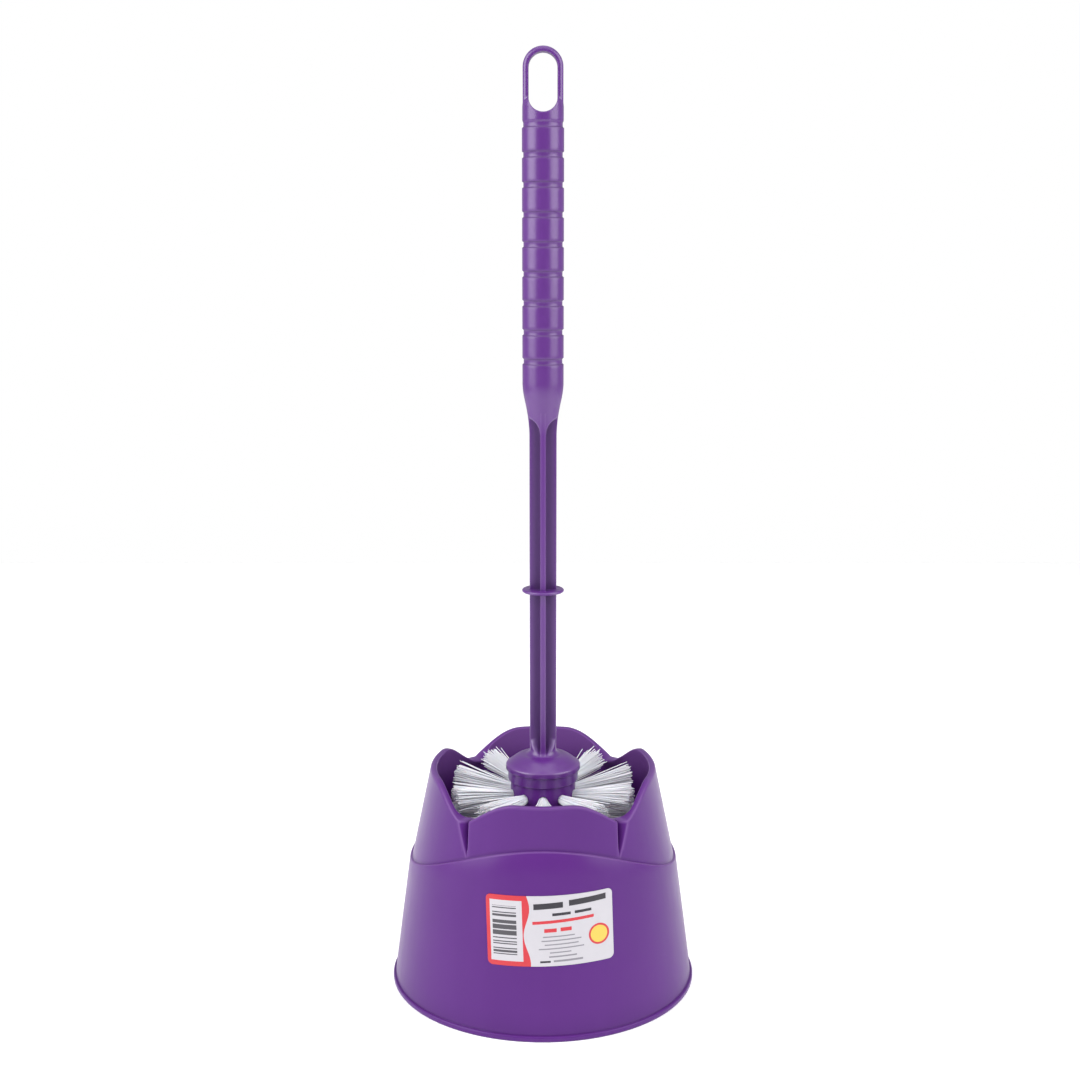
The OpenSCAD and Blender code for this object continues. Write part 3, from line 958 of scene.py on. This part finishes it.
def makeTufts(seed, node, spot, tilt, count, turn, length, tipR, rise):
    rng = random.Random(seed)
    curve = bpy.data.curves.new(node, "CURVE")
    curve.dimensions = "3D"
    curve.bevel_depth = tuft["thick"] / 2 * mm
    curve.bevel_resolution = 0
    curve.use_fill_caps = True
    for slot in range(2):       # the second slot only tells the shaded strands apart
        curve.materials.append(bristleWhite)
    strands = tuft["strands"]
    for i in range(count):
        angle = turn + 360 * i / count
        axes = tuftFrame(spot, tilt, angle)
        lift = rise * (1 - cosd(angle)) / 2
        for k in range(strands):
            stray = k >= strands - tuft["strays"]
            strand = addStrand(curve, axes, rng, length, tipR, lift, k, strands, stray)
            strand.material_index = int(k >= strands - tuft["shaded"])
        addHeart(curve, axes, length, tipR, lift)
    bundle = bpy.data.objects.new(node, curve)
    bpy.context.scene.collection.objects.link(bundle)
    graph = bpy.context.evaluated_depsgraph_get()
    mesh = bpy.data.meshes.new_from_object(bundle.evaluated_get(graph))
    bpy.data.objects.remove(bundle)
    shade = mesh.attributes.new("shade", "FLOAT", "FACE")
    shade.data.foreach_set("value", [float(face.material_index) for face in mesh.polygons])
    words = node.split("_")
    name = words[0] + "".join(word.capitalize() for word in words[1:])
    piece = bpy.data.objects.new(name, mesh)
    bpy.context.scene.collection.objects.link(piece)
    settle(piece, "brush", node, bristleWhite, 80)


for seed, details in enumerate(tuftSets()):
    makeTufts(seed + 11, *details)


# staples keep their own shape

for node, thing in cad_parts.items():
    if node.startswith("staples"):
        thing.data.materials.clear()
        thing.data.materials.append(stapleSteel)
print("staples finished")


# printed sticker

sticker = {
    "angle": 3.0, "tilt": 1.5, "z": 44.5,
    "paper": (0.46, 0.445, 0.48, 1), "red": (0.50, 0.022, 0.034, 1), "dark": (0.018, 0.016, 0.024, 1),
    "grey": (0.21, 0.20, 0.23, 1), "yellow": (0.62, 0.46, 0.07, 1), "pale": (0.50, 0.485, 0.52, 1),
    "block": (-23.8, -11.2, -12.1, 12.0), "bars": (-22.9, -13.5, -9.6, 9.8), "cell": 0.46,
    "waveTurn": 0.2856, "waveStart": -1.0, "waveOut": 1.25, "panelEdge": -9.5,
    "spot": (19.4, -3.2), "spotR": 3.4, "hoopR": 4.2, "shift": 3.5, "gaps": 0.52, "ink": 0.92, "wear": 300,
}
# rules of the print: colour, left end, right end, height of the middle, thickness, slope
stickerRules = [
    ("dark", -6.6, 5.2, 10.0, 2.3, 0.05), ("dark", 7.6, 22.6, 10.3, 2.3, 0.05),
    ("dark", 0.8, 8.2, 6.4, 1.1, 0.04), ("dark", 9.8, 16.6, 6.5, 1.1, 0.04),
    ("red", -7.2, 17.5, 3.6, 1.2, 0.05),
    ("red", -2.6, 2.4, 0.2, 1.5, 0.03), ("red", 3.9, 8.4, 0.3, 1.5, 0.03),
    ("grey", -3.2, 9.6, -2.3, 0.5, 0.03), ("grey", -3.8, 12.2, -3.9, 0.5, 0.03),
    ("grey", -2.6, 11.0, -5.5, 0.5, 0.03), ("grey", -5.0, 13.2, -7.1, 0.5, 0.03),
    ("grey", -0.6, 8.0, -8.7, 0.5, 0.03), ("grey", -1.0, 10.2, -10.3, 0.6, 0.03),
    ("dark", -4.6, -0.4, -12.2, 0.8, 0.02), ("grey", 0.8, 12.6, -12.1, 0.8, 0.02),
]


def stickerPrint():
    s = sticker
    finish = Finish("stickerPrint", IOR=1.45, Coat_Weight=0.25, Coat_Roughness=0.2)
    x = finish.add("ShaderNodeSeparateXYZ", {}, {0: finish.place})
    flat = (x * cosd(s["angle"]) + x.pin("Y") * sind(s["angle"])) * 1000
    rise = x.pin("Z") * 1000 - s["z"]
    u = flat * cosd(s["tilt"]) + rise * sind(s["tilt"])
    v = rise * cosd(s["tilt"]) - flat * sind(s["tilt"])

    def between(value, low, high):
        return (value > low) * (value < high)

    def bar(left, right, middle, thick, slope):
        return between(u, left, right) * (abs(v - (u * slope + middle)) < thick / 2)

    def box(left, right, low, high):
        return between(u, left, right) * between(v, low, high)

    wave = finish.add("ShaderNodeMath", {"operation": "SINE"}, {0: v * s["waveTurn"] + s["waveStart"]})
    panel = u < (wave * s["waveOut"] + s["panelEdge"])
    row = finish.add("ShaderNodeMath", {"operation": "FLOOR"}, {0: v / s["cell"]})
    pick = finish.add("ShaderNodeTexWhiteNoise", {"noise_dimensions": "1D"}, {"W": row + s["shift"]})
    bars = box(*s["bars"]) * (pick > s["gaps"]) * s["ink"]
    away, below = u - s["spot"][0], v - s["spot"][1]
    ring = away * away + below * below
    hoop = between(ring, s["spotR"] ** 2, s["hoopR"] ** 2)
    spot = ring < s["spotR"] ** 2
    ink = {"dark": bars, "red": panel * (1 - box(*s["block"])) + hoop, "grey": 0, "yellow": spot}
    for colour, *place in stickerRules:
        ink[colour] = bar(*place) + ink[colour]
    wear = finish.noise(s["wear"], 4)
    colour = finish.mix(wear, s["paper"], s["pale"])
    for name in ("red", "yellow", "grey", "dark"):
        colour = finish.mix(ink[name], colour, s[name])
    roughness = finish.span(wear, 0.3, 0.45)
    return finish.paint(colour, roughness, finish.bump(wear, 0.15, 0.00003))


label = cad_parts["sticker"]
label.data.materials.clear()
label.data.materials.append(stickerPrint())
print("sticker printed")


# floor, light and camera

white = (1, 1, 1, 1)
room = {
    "floorSize": 1.8, "floorColour": (0.93, 0.93, 0.935, 1), "floorPale": (0.95, 0.95, 0.95, 1),
    "floorDull": 0.8, "floorGlow": 0.22, "seen": 1.0,
    "front": 0.31, "behind": 0.52, "from": -0.5, "to": 0.6,
}


def makeFloor():
    bm = bmesh.new()
    bmesh.ops.create_grid(bm, x_segments=1, y_segments=1, size=room["floorSize"] / 2)
    floor = meshPiece("floor", bm)
    finish = Finish("floorPaint", Roughness=room["floorDull"], Emission_Strength=room["floorGlow"])
    finish.surface.inputs["Emission Color"].default_value = white
    colour = finish.mix(finish.noise(3, 2), room["floorColour"], room["floorPale"])
    floor.data.materials.append(finish.paint(colour))


def makeWorld():
    # white where the camera looks past the object, and softer where it lights the object
    world = bpy.data.worlds.new("studio")
    bpy.context.scene.world = world
    world.use_nodes = True
    world.node_tree.nodes.clear()
    sky = Nodes(world.node_tree)
    # the room is dim on the viewer's side and pale behind the object
    axes = sky.add("ShaderNodeSeparateXYZ", {}, {0: sky.add("ShaderNodeTexCoord").pin("Generated")})
    span = {"From Min": room["from"], "From Max": room["to"]}
    span |= {"To Min": room["front"], "To Max": room["behind"], "Value": axes.pin("Y")}
    glow = sky.add("ShaderNodeMapRange", {}, span)
    lit = sky.add("ShaderNodeBackground", {}, {"Color": white, "Strength": glow})
    seen = sky.add("ShaderNodeBackground", {}, {"Color": white, "Strength": room["seen"]})
    straight = sky.add("ShaderNodeLightPath").pin("Is Camera Ray")
    both = sky.add("ShaderNodeMixShader", {}, {0: straight, 1: lit, 2: seen})
    sky.add("ShaderNodeOutputWorld", {}, {"Surface": both})


# name: angle from the front, height, distance, width, length, power
softLights = {
    "leftStrip": (-66, 0.75, 1.1, 1.1, 1.3, 18.0),
    "rightStrip": (66, 0.75, 1.1, 1.1, 1.3, 15.0),
    "front": (0, 1.3, 1.0, 1.4, 0.6, 3.2),
    "top": (0, 1.3, 0.05, 0.9, 0.9, 3.8),
}
aimHeight = 0.2


def makeLights():
    for name, (angle, height, distance, width, length, power) in softLights.items():
        data = bpy.data.lights.new(name, "AREA")
        data.shape = "RECTANGLE"
        data.size = width
        data.size_y = length
        data.energy = power
        lamp = bpy.data.objects.new(name, data)
        bpy.context.scene.collection.objects.link(lamp)
        lamp.location = (distance * sind(angle), -distance * cosd(angle), height)
        drop = math.atan2(height - aimHeight, distance)
        lamp.rotation_euler = (math.pi / 2 - drop, 0, math.radians(angle))


view = {"lens": 52.93, "sensor": 36, "shift": -0.0028, "place": (0, -0.6487, 0.3127), "down": 10.6}


def makeCamera():
    data = bpy.data.cameras.new("camera")
    data.lens = view["lens"]
    data.sensor_width = view["sensor"]
    data.shift_x = view["shift"]
    camera = bpy.data.objects.new("camera", data)
    bpy.context.scene.collection.objects.link(camera)
    camera.location = view["place"]
    camera.rotation_euler = (math.radians(90 - view["down"]), 0, 0)
    bpy.context.scene.camera = camera


makeFloor()
makeWorld()
makeLights()
makeCamera()
bpy.context.scene.view_settings.view_transform = "Standard"
print("floor, lights and camera placed")
